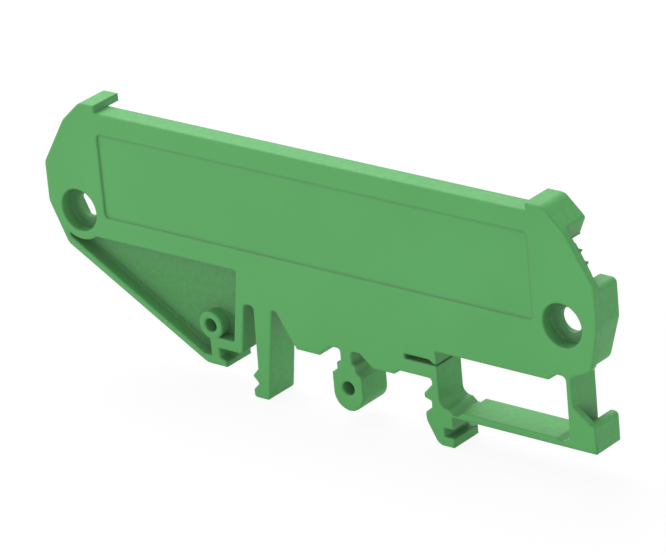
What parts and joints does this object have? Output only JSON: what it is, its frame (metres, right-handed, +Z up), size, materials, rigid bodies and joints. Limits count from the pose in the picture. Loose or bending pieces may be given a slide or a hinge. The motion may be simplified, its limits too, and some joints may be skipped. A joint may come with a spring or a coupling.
{
  "type": "terminal block end plate",
  "caption": "Moulded green end plate for a row of rail terminal blocks, with sunk screw holes at both ends, a toothed rail foot and a springy hook.",
  "frame": {"origin": "midway between the two screw holes, on the plane that the screw heads seat on, 2.4 mm behind the front face", "axes": "+X along the plate from the pocket end to the spring end, +Y from the front face towards the back, +Z up, away from the rail"},
  "size_m": [0.1134, 0.0065, 0.0468],
  "materials": {
    "green_plastic": "matte"
  },
  "bodies": {
    "root": {"end_plate": "green_plastic"}
  },
  "joints": []
}
